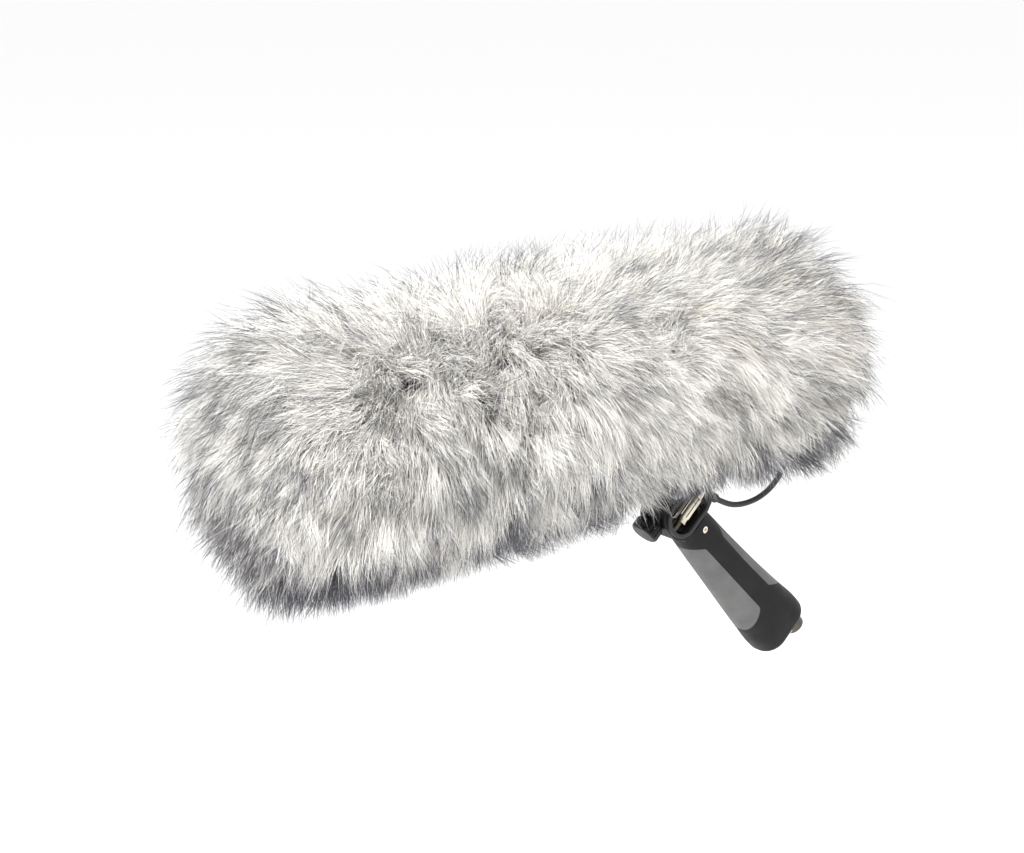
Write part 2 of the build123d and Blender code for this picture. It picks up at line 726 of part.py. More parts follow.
def lead_gland_axis():
    """A location on the gland's middle line, its Z along the lead as it leaves the basket."""
    before = Vector(*LEAD_ROUTE[-1])
    after = Vector(*LEAD_ROUTE[-2])
    return Plane(origin=before, z_dir=after - before).location


def lead_gland():
    """Strain relief where the lead leaves the basket's floor."""
    place = lead_gland_axis()
    sleeve = place * Pos(0, 0, -GLAND_LENGTH / 2) * Cylinder(GLAND_SLEEVE, GLAND_LENGTH)
    boss = place * Pos(0, 0, -6) * Cylinder(GLAND_BOSS, 7)
    boss -= rod_x(CAGE_R + EASY, 150, 260)
    return sleeve + boss - place * Cylinder(LEAD_R + SNUG, 60)


def basket_lead_path():
    """From the gland's tip into the basket and forward to the plug."""
    outside = Vector(*LEAD_ROUTE[-1])
    inward = (outside - Vector(*LEAD_ROUTE[-2])).normalized()
    corner = outside + inward * ((PLUG_Z - outside.Z) / inward.Z)
    return [tuple(outside), (corner.X, 0, PLUG_Z), (PLUG_REAR - 0.5, 0, PLUG_Z + 0.001)]


def plug_body():
    """Shell and tail of the plug that feeds the microphone."""
    body = rod_x(PLUG_R, PLUG_FRONT, PLUG_REAR - PLUG_TAIL, z=PLUG_Z)
    tail_place = Pos(PLUG_REAR - PLUG_TAIL / 2, 0, PLUG_Z) * Rot(0, 90, 0)
    body += tail_place * Cone(PLUG_R - 1, 4.2, PLUG_TAIL)
    body -= rod_x(PLUG_MOUTH_R, PLUG_FRONT - 1, PLUG_FRONT + PLUG_MOUTH_DEPTH, z=PLUG_Z)
    return body - rod_x(LEAD_R + SNUG, PLUG_REAR - 14, PLUG_REAR + 1, z=PLUG_Z)


def plug_insert():
    """Insulator with three contact holes."""
    insert = rod_x(PLUG_MOUTH_R - EASY, PLUG_FRONT + 0.6, PLUG_FRONT + PLUG_MOUTH_DEPTH - 0.1, z=PLUG_Z)
    for angle in (90, 210, 330):
        y = PIN_CIRCLE * math.cos(math.radians(angle))
        z = PLUG_Z + PIN_CIRCLE * math.sin(math.radians(angle))
        insert -= rod_x(PIN_R + 0.1, PLUG_FRONT - 1, PLUG_FRONT + 14, y, z)
    return insert


# ---- fur jacket ----


def jacket_slots(grow=0.0):
    """What the jacket leaves open under the basket: the saddle's slot and the lead's."""
    half = SLOT_HALF + grow
    saddle_hole = block(SLOT_FRONT - grow, SLOT_REAR + grow, -half, half, -200, -30)
    saddle_hole = fillet(saddle_hole.edges().filter_by(Axis.Z), SLOT_CORNER)
    lead_hole = block(LEAD_SLOT_FRONT, LEAD_SLOT_REAR, -LEAD_SLOT_HALF, LEAD_SLOT_HALF, -200, -30)
    return saddle_hole, lead_hole


def slot_binding():
    """Elastic edge of the saddle's slot."""
    layer = ring_x(JACKET_R + BINDING_T, JACKET_R, SLOT_FRONT - 20, SLOT_REAR + 20)
    outer, _ = jacket_slots(BINDING)
    inner, _ = jacket_slots()
    return (layer & outer) - inner


def closure_strips(inner, outer):
    """One layer of the touch-and-close seam under the basket, ahead of and behind the slot."""
    _, lead_hole = jacket_slots()
    keep = block(-300, 300, -STRIP_HALF, STRIP_HALF, -100, 0)
    ahead = ring_x(outer, inner, STRIP_FRONT, SLOT_FRONT - BINDING - 1) & keep
    behind = ring_x(outer, inner, SLOT_REAR + BINDING + 1, LEAD_SLOT_FRONT - 1) & keep
    return Compound(children=[ahead, behind])


def jacket_profile():
    """Half side view of the whole jacket, as thick as its pile is deep."""
    rear = half_profile(0, FUR_TURN, FUR_HALF, FUR_R)
    rear -= half_profile(-1, REAR_SEAM, BASKET_HALF + JACKET_GAP, JACKET_R)
    front = half_profile(0, FUR_TURN, FUR_HALF, FUR_R)
    front -= half_profile(-1, FRONT_TURN, BASKET_HALF + JACKET_GAP, JACKET_R)
    return rear + mirror(front, Plane.YZ)


def fur_panels():
    """Front, middle and rear panels of long-pile fabric."""
    profile = jacket_profile()
    front = spin(profile & band(-400, FRONT_SEAM, 0, 200))
    rear = spin(profile & band(REAR_SEAM, 400, 0, 200))
    middle = spin(profile & band(FRONT_SEAM, REAR_SEAM, 0, 200))
    saddle_hole, lead_hole = jacket_slots()
    edge, _ = jacket_slots(BINDING)
    middle -= saddle_hole
    middle -= lead_hole
    rear -= lead_hole
    middle -= ring_x(JACKET_R + BINDING_T, JACKET_R - 1, SLOT_FRONT - 20, SLOT_REAR + 20) & edge
    for strip in closure_strips(JACKET_R - 1, JACKET_R + 2 * STRIP_T).children:
        middle -= strip
    return front, middle, rear


def pod_arguments():
    """End, dome start, tip and slot reach of the front and the rear pod."""
    front = (-TUBE_FRONT, FRONT_TURN, BASKET_HALF, 50)
    rear = (TUBE_REAR, REAR_SEAM, BASKET_HALF, 53)
    return front, rear


def grip_nodes():
    """Every piece of the grip and of its knob, by name, in the grip's frame."""
    body = grip_body(0)
    skin = body - grip_body(SKIN)
    front = skin & side_plate(front_outline(), 60)
    rear = skin & side_plate(rear_outline(), 60)
    rear -= tube_along(handle_lead_path(), BOOT_R + EASY)
    hollow = handle_hollow()
    return {
        "grip_head": grip_head(),
        "window_bezel_left": window_bezel(-1),
        "window_bezel_right": window_bezel(1),
        "clamp_barrels": clamp_barrels(),
        "barrel_studs": barrel_studs(),
        "grip_shell_left": grip_shell(-1, body, hollow, front, rear),
        "grip_shell_right": grip_shell(1, body, hollow, front, rear),
        "front_insert": front,
        "rear_insert": rear,
        "shell_screw": shell_screw(),
        "end_cap": end_cap(),
        "cap_screws": cap_screws(),
        "boom_socket": boom_socket(),
        "xlr_shell": xlr_shell(),
        "xlr_insulator": xlr_insulator(),
        "xlr_pins": xlr_pins(),
        "grip_lead": tube_along(handle_lead_path(), LEAD_R, "grip_lead"),
        "lead_boot": lead_boot(),
        "clamp_knob": clamp_knob(),
        "clamp_screw": clamp_screw(),
        "clamp_washer": ring_x(7.0, 3.1, 0, 0.3).moved(Pos(KNOB_FACE + EASY, 0, -KNOB_DROP)),
    }


def basket_nodes():
    """Every piece of the basket and what it carries, by name, about the basket's axis."""
    front_pod, rear_pod = pod_arguments()
    fur_front, fur_middle, fur_rear = fur_panels()
    nodes = {
        "saddle": saddle(),
        "hinge_pin": hinge_pin(),
        "pin_circlips": pin_circlips(),
        "cage_tube": cage_tube(),
        "cage_mesh": cage_mesh(),
        "front_collar": to_front(end_ring(-TUBE_FRONT)),
        "rear_collar": end_ring(TUBE_REAR),
        "suspension_rail": suspension_rail(),
        "rail_screws": rail_screws(),
        "lead_gland": lead_gland(),
        "basket_lead": tube_along(basket_lead_path(), LEAD_R, "basket_lead"),
        "plug_body": plug_body(),
        "plug_insert": plug_insert(),
        "outer_lead": tube_along(LEAD_ROUTE, LEAD_R, "outer_lead"),
        "front_pod": to_front(pod(*front_pod)),
        "front_pod_mesh": to_front(pod_mesh(*front_pod[:3])),
        "rear_pod": pod(*rear_pod),
        "rear_pod_mesh": pod_mesh(*rear_pod[:3]),
        "fur_front_panel": fur_front,
        "fur_body_panel": fur_middle,
        "fur_rear_panel": fur_rear,
        "slot_binding": slot_binding(),
        "loop_strip": closure_strips(JACKET_R + EASY, JACKET_R + STRIP_T),
        "hook_strip": closure_strips(JACKET_R + STRIP_T, JACKET_R + 2 * STRIP_T),
    }
    for name, x in (("front", FRONT_HOOP_X), ("rear", REAR_HOOP_X)):
        nodes[name + "_hoop"] = hoop(x)
        nodes[name + "_clip"] = clip(x)
        nodes[name + "_bands"] = bands(x)
        nodes[name + "_thumb_screw"] = thumb_screw(x)
    return nodes


def write(name, shape):
    """Write one node's solids to its STEP file."""
    solids = shape.solids()
    export_step(solids[0] if len(solids) == 1 else Compound(children=solids), f"parts/{name}.step")


def main():
    os.makedirs("parts", exist_ok=True)
    for name, shape in grip_nodes().items():
        write(name, GRIP * shape)
    for name, shape in basket_nodes().items():
        write(name, BASKET * shape)
    print("hinge", [round(v, 3) for v in HINGE], "basket axis", [round(v, 3) for v in BASKET.position])


main()
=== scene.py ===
import json
import math

import bpy
import numpy as np
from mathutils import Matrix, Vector
from mathutils.kdtree import KDTree


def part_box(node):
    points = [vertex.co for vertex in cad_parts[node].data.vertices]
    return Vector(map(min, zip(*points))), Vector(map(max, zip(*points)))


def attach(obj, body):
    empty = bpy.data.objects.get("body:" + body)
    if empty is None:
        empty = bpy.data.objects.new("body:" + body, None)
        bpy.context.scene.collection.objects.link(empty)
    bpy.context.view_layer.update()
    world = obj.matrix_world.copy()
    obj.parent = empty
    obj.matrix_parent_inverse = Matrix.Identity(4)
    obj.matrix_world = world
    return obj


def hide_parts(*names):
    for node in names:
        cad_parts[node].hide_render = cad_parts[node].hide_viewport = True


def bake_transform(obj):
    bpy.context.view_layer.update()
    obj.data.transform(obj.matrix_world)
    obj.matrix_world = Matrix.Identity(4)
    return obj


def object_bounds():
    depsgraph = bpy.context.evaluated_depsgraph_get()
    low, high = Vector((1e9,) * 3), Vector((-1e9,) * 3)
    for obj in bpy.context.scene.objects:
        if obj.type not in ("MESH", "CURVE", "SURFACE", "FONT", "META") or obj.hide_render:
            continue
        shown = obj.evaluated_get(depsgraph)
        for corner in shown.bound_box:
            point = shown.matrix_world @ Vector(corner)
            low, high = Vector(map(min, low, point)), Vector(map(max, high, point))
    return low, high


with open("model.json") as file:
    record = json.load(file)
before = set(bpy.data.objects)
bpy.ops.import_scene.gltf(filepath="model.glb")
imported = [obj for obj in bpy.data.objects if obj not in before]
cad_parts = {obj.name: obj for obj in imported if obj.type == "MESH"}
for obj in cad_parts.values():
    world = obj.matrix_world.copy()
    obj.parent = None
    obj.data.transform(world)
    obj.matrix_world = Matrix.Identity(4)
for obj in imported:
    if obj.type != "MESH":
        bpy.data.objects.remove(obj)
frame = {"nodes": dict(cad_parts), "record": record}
CAD_BOX = [list(corner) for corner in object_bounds()]
MM = 0.001

# ---- places, from the frame ----
FRONT_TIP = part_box("fur_front_panel")[0].x
REAR_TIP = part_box("fur_rear_panel")[1].x
FUR_LOW, FUR_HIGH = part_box("fur_body_panel")
AXIS = Vector(((FRONT_TIP + REAR_TIP) / 2, 0, (FUR_LOW.z + FUR_HIGH.z) / 2))
HALF_LENGTH = (REAR_TIP - FRONT_TIP) / 2
FUR_R = (FUR_HIGH.y - FUR_LOW.y) / 2
BASKET_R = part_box("front_collar")[1].y
SLOT_LOW, SLOT_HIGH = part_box("slot_binding")


def about_axis(x, y, z):
    """A point given in millimetres about the middle of the basket."""
    return AXIS + Vector((x, y, z)) * MM


# ---- materials ----
NOISE_RANGE = (0.3, 0.7)  # nearly all of a noise texture's values lie in it
PLASTIC_SPECULAR = 0.2
MOTTLE_SCALE = 60  # blotches per metre
GLOSS_SCALE = 90
GLOSS_SPREAD = 0.07
GRAIN_DEPTH = 0.0002  # metres
MARK_DEPTH = 0.0001
THREAD_DEPTH = 0.0004


def new_material(name, colour, roughness, metallic=0.0):
    """A Principled material with its plain numbers set on the shader."""
    material = bpy.data.materials.new(name)
    material.use_nodes = True
    shader = material.node_tree.nodes["Principled BSDF"]
    shader.inputs["Base Color"].default_value = (*colour, 1)
    shader.inputs["Roughness"].default_value = roughness
    shader.inputs["Metallic"].default_value = metallic
    return material, shader


def noise_ramp(tree, scale, low, high, detail=4.0, stretch=(1, 1, 1)):
    """A number from low to high that follows a noise fixed to the piece."""
    place = tree.nodes.new("ShaderNodeTexCoord")
    mapping = tree.nodes.new("ShaderNodeMapping")
    mapping.inputs["Scale"].default_value = stretch
    noise = tree.nodes.new("ShaderNodeTexNoise")
    noise.inputs["Scale"].default_value = scale
    noise.inputs["Detail"].default_value = detail
    remap = tree.nodes.new("ShaderNodeMapRange")
    remap.inputs["From Min"].default_value = NOISE_RANGE[0]
    remap.inputs["From Max"].default_value = NOISE_RANGE[1]
    remap.inputs["To Min"].default_value = low
    remap.inputs["To Max"].default_value = high
    tree.links.new(place.outputs["Object"], mapping.inputs["Vector"])
    tree.links.new(mapping.outputs["Vector"], noise.inputs["Vector"])
    tree.links.new(noise.outputs["Fac"], remap.inputs["Value"])
    return noise, remap


def tint(tree, shader, colour, other, scale):
    """Mottles the base colour between two close colours."""
    _, share = noise_ramp(tree, scale, 0, 1, detail=6)
    mix = tree.nodes.new("ShaderNodeMix")
    mix.data_type = "RGBA"
    mix.inputs["A"].default_value = (*colour, 1)
    mix.inputs["B"].default_value = (*other, 1)
    tree.links.new(share.outputs["Result"], mix.inputs["Factor"])
    tree.links.new(mix.outputs["Result"], shader.inputs["Base Color"])


def bump(tree, shader, height, strength, distance):
    """Surface relief from a height output."""
    node = tree.nodes.new("ShaderNodeBump")
    node.inputs["Strength"].default_value = strength
    node.inputs["Distance"].default_value = distance
    tree.links.new(height, node.inputs["Height"])
    tree.links.new(node.outputs["Normal"], shader.inputs["Normal"])


def moulded_plastic(name, colour, roughness=0.5, grain=1400, strength=0.25):
    """Spark-textured moulding: fine even grain, slightly uneven gloss."""
    material, shader = new_material(name, colour, roughness)
    tree = material.node_tree
    shader.inputs["Specular IOR Level"].default_value = PLASTIC_SPECULAR
    lighter = [min(1, c * 1.35 + 0.002) for c in colour]
    tint(tree, shader, colour, lighter, MOTTLE_SCALE)
    grain_noise, _ = noise_ramp(tree, grain, 0, 1, detail=2)
    bump(tree, shader, grain_noise.outputs["Fac"], strength, GRAIN_DEPTH)
    _, gloss = noise_ramp(tree, GLOSS_SCALE, roughness - GLOSS_SPREAD, roughness + GLOSS_SPREAD)
    tree.links.new(gloss.outputs["Result"], shader.inputs["Roughness"])
    return material


def soft_rubber(name, colour, roughness=0.62):
    """Matte elastomer with a velvety edge."""
    material = moulded_plastic(name, colour, roughness, grain=2200, strength=0.18)
    shader = material.node_tree.nodes["Principled BSDF"]
    shader.inputs["Sheen Weight"].default_value = 0.12
    shader.inputs["Sheen Roughness"].default_value = 0.4
    return material


def metal(name, colour, roughness, streak=(1, 1, 1), scale=500, spread=0.08):
    """Metal whose gloss and relief follow fine machining marks."""
    material, shader = new_material(name, colour, roughness, metallic=1.0)
    tree = material.node_tree
    marks, gloss = noise_ramp(tree, scale, roughness - spread, roughness + spread, 3, streak)
    tree.links.new(gloss.outputs["Result"], shader.inputs["Roughness"])
    bump(tree, shader, marks.outputs["Fac"], 0.12, MARK_DEPTH)
    return material


def woven(name, colour, other, pitch):
    """Plain weave: two crossed sets of threads."""
    material, shader = new_material(name, colour, 0.85)
    tree = material.node_tree
    place = tree.nodes.new("ShaderNodeTexCoord")
    heights = []
    for axis in ("X", "Y"):
        wave = tree.nodes.new("ShaderNodeTexWave")
        wave.bands_direction = axis
        wave.inputs["Scale"].default_value = 1 / pitch
        wave.inputs["Distortion"].default_value = 0.6
        tree.links.new(place.outputs["Object"], wave.inputs["Vector"])
        heights.append(wave.outputs["Fac"])
    both = tree.nodes.new("ShaderNodeMath")
    both.operation = "MAXIMUM"
    tree.links.new(heights[0], both.inputs[0])
    tree.links.new(heights[1], both.inputs[1])
    bump(tree, shader, both.outputs["Value"], 0.6, THREAD_DEPTH)
    mix = tree.nodes.new("ShaderNodeMix")
    mix.data_type = "RGBA"
    mix.inputs["A"].default_value = (*other, 1)
    mix.inputs["B"].default_value = (*colour, 1)
    tree.links.new(both.outputs["Value"], mix.inputs["Factor"])
    tree.links.new(mix.outputs["Result"], shader.inputs["Base Color"])
    shader.inputs["Sheen Weight"].default_value = 0.2
    return material


def fibre(name, colour, roughness=0.55):
    """One shade of acrylic pile."""
    material, shader = new_material(name, colour, roughness)
    shader.inputs["Specular IOR Level"].default_value = 0.35
    shader.inputs["Sheen Weight"].default_value = 0.25
    shader.inputs["Sheen Roughness"].default_value = 0.5
    return material


BLACK = moulded_plastic("black_moulding", (0.0045, 0.0045, 0.005), 0.5)
BLACK_KNOB = moulded_plastic("black_knob", (0.004, 0.004, 0.0045), 0.36, grain=1000)
BEZEL = moulded_plastic("bezel_grey", (0.03, 0.03, 0.032), 0.4)
GREY = soft_rubber("grey_grip", (0.098, 0.098, 0.097))
CABLE = soft_rubber("cable_jacket", (0.035, 0.035, 0.034), 0.42)
BASKET = moulded_plastic("basket_plastic", (0.03, 0.03, 0.032), 0.55)
CHROME = metal("chrome_barrel", (0.78, 0.72, 0.6), 0.2, spread=0.06)
STEEL = metal("steel", (0.56, 0.56, 0.55), 0.32)
NICKEL = metal("dark_nickel", (0.1, 0.093, 0.07), 0.3)
GOLD = metal("gold_contact", (0.95, 0.7, 0.32), 0.22)
RAIL = metal("anodised_rail", (0.06, 0.06, 0.065), 0.42, streak=(0.05, 1, 1))
MESH = woven("acoustic_mesh", (0.035, 0.035, 0.037), (0.008, 0.008, 0.008), 0.004)
WEBBING = woven("webbing", (0.03, 0.03, 0.034), (0.01, 0.01, 0.011), 0.006)
BACKING = woven("knit_backing", (0.66, 0.66, 0.65), (0.42, 0.42, 0.43), 0.006)

FINISHES = {
    "black_plastic": BLACK,
    "grey_grip": GREY,
    "bezel_grey": BEZEL,
    "chrome": CHROME,
    "steel": STEEL,
    "nickel": NICKEL,
    "gold": GOLD,
    "cable_black": CABLE,
    "basket_plastic": BASKET,
    "mesh_black": MESH,
    "rail_black": RAIL,
    "band_black": CABLE,
    "fur": BACKING,
    "webbing": WEBBING,
}


def finish_nodes():
    """Gives every CAD node its finish."""
    for part in frame["record"]["subparts"]:
        node = frame["nodes"][part["node"]]
        node.data.materials.clear()
        node.data.materials.append(FINISHES[part["material_slot"]])
    frame["nodes"]["clamp_knob"].data.materials[0] = BLACK_KNOB
    frame["nodes"]["barrel_studs"].data.materials[0] = NICKEL


# ---- camera, light and floor ----
TOWARDS_CAMERA = Vector((-0.6176, -0.736, 0.2773)).normalized()
CAMERA_RANGE = 1.57
CAMERA_RIGHT = 0.0247  # how far the basket's middle lies right of and above the view's middle
CAMERA_UP = 0.0236
LENS_MM = 78
SENSOR_MM = 36
CLIP_END = 200
WORLD_STRENGTH = 1.04
FLOOR_SIZE = 120
FLOOR_DROP = 0.55  # below the part's lowest point


def aim(thing, direction):
    """Turns a camera or light to look along a direction, level."""
    thing.rotation_euler = direction.to_track_quat("-Z", "Y").to_euler()


def make_camera():
    """Looks at the basket from the front left, a little above it."""
    data = bpy.data.cameras.new("camera")
    data.lens = LENS_MM
    data.sensor_width = SENSOR_MM
    data.clip_end = CLIP_END
    camera = bpy.data.objects.new("camera", data)
    right = Vector((0, 0, 1)).cross(TOWARDS_CAMERA).normalized()
    up = TOWARDS_CAMERA.cross(right)
    camera.location = AXIS + TOWARDS_CAMERA * CAMERA_RANGE - right * CAMERA_RIGHT - up * CAMERA_UP
    aim(camera, -TOWARDS_CAMERA)
    bpy.context.scene.collection.objects.link(camera)
    bpy.context.scene.camera = camera


def area_light(name, offset, size, power):
    """A soft square light at an offset from the basket, aimed at it."""
    data = bpy.data.lights.new(name, "AREA")
    data.size = size
    data.energy = power
    light = bpy.data.objects.new(name, data)
    light.location = AXIS + Vector(offset)
    aim(light, -Vector(offset))
    bpy.context.scene.collection.objects.link(light)


def make_studio():
    """Soft light from above and the left, a white room and a pale floor."""
    area_light("key", (-1.6, -1.25, 1.8), 1.3, 100)
    area_light("rim", (1.4, 1.6, 1.5), 1.6, 14)
    world = bpy.data.worlds.new("studio")
    world.use_nodes = True
    world.node_tree.nodes["Background"].inputs["Color"].default_value = (1, 1, 1, 1)
    world.node_tree.nodes["Background"].inputs["Strength"].default_value = WORLD_STRENGTH
    bpy.context.scene.world = world
    floor_height = CAD_BOX[0][2] - FLOOR_DROP
    bpy.ops.mesh.primitive_plane_add(size=FLOOR_SIZE, location=(0, 0, floor_height))
    floor = bpy.context.object
    floor.name = "floor"
    material, shader = new_material("floor", (0.93, 0.93, 0.93), 0.8)
    shader.inputs["Specular IOR Level"].default_value = 0.1
    floor.data.materials.append(material)
    bpy.context.scene.view_settings.view_transform = "Standard"


# ---- the lead's free loop ----
LEAD_DIAMETER = 4.6 * MM
LEAD_ROUTE = [  # millimetres about the middle of the basket
    (171.9, 0, -113.9),
    (180.5, 0, -118.9),
    (192.6, 0, -123.9),
    (207.0, 0, -125.3),
    (221.5, 0, -123.4),
    (234.4, 0, -117.9),
    (244.3, 0, -108.8),
    (249.3, 0, -96.5),
    (246.0, 0, -84.8),
    (235.0, 0, -77.6),
    (221.5, 0, -77.4),
    (208.5, 0, -74.6),
    (201.0, 0, -64.0),
]


def smooth_line(route):
    """Points read from the route's NURBS spline."""
    curve = bpy.data.curves.new("route", "CURVE")
    curve.dimensions = "3D"
    curve.resolution_u = 12
    spline = curve.splines.new("NURBS")
    spline.points.add(len(route) - 1)
    for point, place in zip(spline.points, route):
        point.co = (*place, 1)
    spline.order_u = 3
    spline.use_endpoint_u = True
    holder = bpy.data.objects.new("route", curve)
    bpy.context.scene.collection.objects.link(holder)
    line = bpy.data.meshes.new_from_object(holder)
    points = [vertex.co.copy() for vertex in line.vertices]
    bpy.data.objects.remove(holder)
    bpy.data.meshes.remove(line)
    return points


def add_mesh(name, points, faces, materials):
    """A linked, smooth-shaded mesh object."""
    mesh = bpy.data.meshes.new(name)
    mesh.from_pydata([tuple(p) for p in points], [], faces)
    mesh.update()
    for material in materials:
        mesh.materials.append(material)
    mesh.polygons.foreach_set("use_smooth", [True] * len(mesh.polygons))
    thing = bpy.data.objects.new(name, mesh)
    bpy.context.scene.collection.objects.link(thing)
    return thing


def ring_quads(rings, sides):
    """Quads that join closed rings of points, numbered ring by ring."""
    quads = []
    for ring in range(rings - 1):
        for side in range(sides):
            a = ring * sides + side
            b = ring * sides + (side + 1) % sides
            quads.append((a, b, b + sides, a + sides))
    return quads


def tube_mesh(name, line, radius, material, sides=20):
    """A closed tube about a line that lies in a plane y = constant."""
    points = []
    last = len(line) - 1
    across = Vector((0, 1, 0))
    for number, point in enumerate(line):
        along = (line[min(number + 1, last)] - line[max(number - 1, 0)]).normalized()
        up = along.cross(across)
        for side in range(sides):
            angle = 2 * math.pi * side / sides
            points.append(point + (across * math.cos(angle) + up * math.sin(angle)) * radius)
    faces = ring_quads(len(line), sides)
    faces.append(tuple(range(sides)))
    faces.append(tuple(reversed(range(last * sides, (last + 1) * sides))))
    return add_mesh(name, points, faces, [material])


def make_lead():
    """The free loop, from the boot on the grip's neck to the basket's gland."""
    line = smooth_line([about_axis(*point) for point in LEAD_ROUTE])
    lead = tube_mesh("lead_loop", line, LEAD_DIAMETER / 2, CABLE)
    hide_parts("outer_lead")
    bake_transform(lead)


# ---- fur ----
SEED = 20
STRANDS = 210000
STRANDS_PER_PIECE = 12000
GUARD_SHARE = 0.14  # long hairs with dark tips
UNDERCOAT_SHARE = 0.4  # short pale hairs that fill in between

# The cloth and the pile's outer surface are tubes with a dome at each end
BACKING_R = BASKET_R + 1.6 * MM
BACKING_TURNS = (-205 * MM, 228 * MM)  # where the cloth's domes begin
BACKING_TIPS = (-241.9 * MM, 241.9 * MM)
PILE_TURNS = (-226 * MM, 226 * MM)
DOME_POINTS = 200
PROFILE_POINTS = 400
BACKING_ALONG = 190  # rings of points, and points in each
BACKING_AROUND = 120
BACKING_MARGIN = 0.004  # share of its length left open at the middle of each dome
CLOTH_THICKNESS = 1.0 * MM
EDGING_OVERLAP = 1 * MM  # how far the cloth goes under the slot's edging

# Tufts, and the clumps in them: how many, how far each leans its own way, how much lengths differ
TUFTS = 1700
TUFT_LEAN = 0.021
TUFT_LENGTHS = 0.12
CLUMPS = 12000
CLUMP_LEAN = 0.009
CLUMP_LENGTHS = 0.08
MOST_SPREADS = 1.6  # no length differs by more than this many times its spread
CLUMP_INWARD = 0.25  # share of the way that a clump's tip leans in to its tuft's middle

# Waves through the pile: seed, size in metres and number of octaves
SWIRL = (3, 0.12, 3)
TANGLE = (11, 0.05, 2)
PATCHES = (29, 0.07, 3)
WAVES_PER_OCTAVE = 4
OCTAVE_FADE = 0.7
WAVE_TOTAL = 2.4  # a wave field is divided by this, to come out near one
SWIRL_LEAN = 6 * MM
TANGLE_LEAN = 7 * MM
DROOP = (3 * MM, 0, -21 * MM)

# How far tips stray, and how much of the way they go to their clump's tip
STRAY = 8 * MM
GUARD_STRAY = 6 * MM
GATHER = (0.35, 0.85)
GUARD_GATHER = 0.35
UNDERCOAT_GATHER = 0.15

# Strand lengths as multiples of the pile's depth
LENGTHS = (0.78, 1.02, 1.06)  # least, most common and most
GUARD_LENGTHS = (1.06, 1.28)
UNDERCOAT_LENGTHS = (0.66, 0.9)
LEAN_LENGTH = 0.6  # how much of a tip's lean adds to its strand's length

# Where a strand bends, and how thick it is
BEND_HEIGHT = 0.6
BEND_LEAN = 0.1  # share of the tip's lean that the bend has
BEND_STRAY = 2.2 * MM
TIP_DROOP = 2 * MM
RADII_MM = (0.16, 0.3)
GUARD_RADIUS = 0.22 * MM
UNDERCOAT_GIRTH = 1.35  # times the radius of a usual strand
TAPER = 0.4
RINGS = (0.0, 0.45, 0.72)  # shares of the way up a strand
SIDES = 3

# How far tips reach: from the basket's axis, and past the two ends of the fur
TIP_REACH = FUR_R + 14 * MM
END_REACH = 16 * MM

# The pile is trimmed beside the grip: this deep below the basket's axis, and deeper away from there
TRIM_DEPTH = 84 * MM
TRIM_EASE = 28 * MM
TRIM_REACH = 75 * MM
TRIM_KEEP = 0.25  # share that is left of what hangs lower

# The room that the grip's neck swings in
SWING_HALF_WIDTH = 17.5 * MM
SWING_TOP = -50 * MM
SWING_END = 12 * MM  # how far it stops short of the slot's ends

# The cloth's cut for the lead (front, rear and half width), and the parting of the pile there
LEAD_CUT = (190 * MM, 234 * MM, 6.5 * MM)
LEAD_PARTING = 3.2 * MM
LEAD_FRONT = 165 * MM
LEAD_TOP = -55 * MM
LEAD_NEAR = 30 * MM

# Grey and slate are the fur's dark tips, and below the axis they are also painted shade; their blue tint
# is painted shade of the underside.
FUR_SHADES = [
    fibre("fur_white", (0.965, 0.945, 0.905)),
    fibre("fur_cream", (0.94, 0.905, 0.84)),
    fibre("fur_pale_grey", (0.78, 0.775, 0.765)),
    fibre("fur_grey", (0.3, 0.3, 0.33)),
    fibre("fur_slate", (0.05, 0.05, 0.066)),
]
SHADE_STEPS = (0.5, 1.75, 2.6, 3.5)  # the tones at which one shade gives way to the next
GREY_HAIR = 3
SLATE_HAIR = 4
GREY_TIP = 1.35  # how dark a spot is before the tips there are grey, then slate
SLATE_TIP = 1.9
GUARD_SLATE_TIP = -0.6
GUARD_GREY_MIDDLE = 0.3
GUARD_SLATE_MIDDLE = 1.2


def profile(tips, turns, radius):
    """Half side view of a round-ended body as (x, r) points, evenly spaced along its length."""
    quarter = np.linspace(0, math.pi / 2, DOME_POINTS)
    front_x = turns[0] - (turns[0] - tips[0]) * np.cos(quarter)
    rear_x = turns[1] + (tips[1] - turns[1]) * np.sin(quarter)
    x = np.concatenate([front_x, rear_x])
    r = radius * np.concatenate([np.sin(quarter), np.cos(quarter)])
    travel = np.concatenate([[0], np.cumsum(np.hypot(np.diff(x), np.diff(r)))])
    even = np.linspace(0, travel[-1], PROFILE_POINTS)
    return np.stack([np.interp(even, travel, x), np.interp(even, travel, r)], 1), travel[-1]


BACKING_LINE, BACKING_LENGTH = profile(BACKING_TIPS, BACKING_TURNS, BACKING_R)
PILE_LINE, _ = profile((-HALF_LENGTH, HALF_LENGTH), PILE_TURNS, FUR_R)


def on_surface(line, share, angle):
    """Points on a body of revolution about X, angle 0 at the top."""
    steps = np.linspace(0, 1, len(line))
    x = np.interp(share, steps, line[:, 0])
    r = np.interp(share, steps, line[:, 1])
    return np.stack([x, r * np.sin(angle), r * np.cos(angle)], 1)


def waves(points, seed, size, octaves):
    """A smooth wandering vector field: sums of sines with seeded directions and phases."""
    random = np.random.default_rng(seed)
    field = np.zeros((len(points), 3))
    for octave in range(octaves):
        wavelength = size / 2**octave
        for axis in range(3):
            for _ in range(WAVES_PER_OCTAVE):
                direction = random.normal(size=3)
                direction *= 2 * math.pi / (wavelength * np.linalg.norm(direction))
                phase = random.uniform(0, 2 * math.pi)
                field[:, axis] += np.sin(points @ direction + phase) * OCTAVE_FADE**octave
    return field / WAVE_TOTAL


def unit(vectors):
    """The vectors at length one."""
    return vectors / np.maximum(np.linalg.norm(vectors, axis=1, keepdims=True), 1e-9)


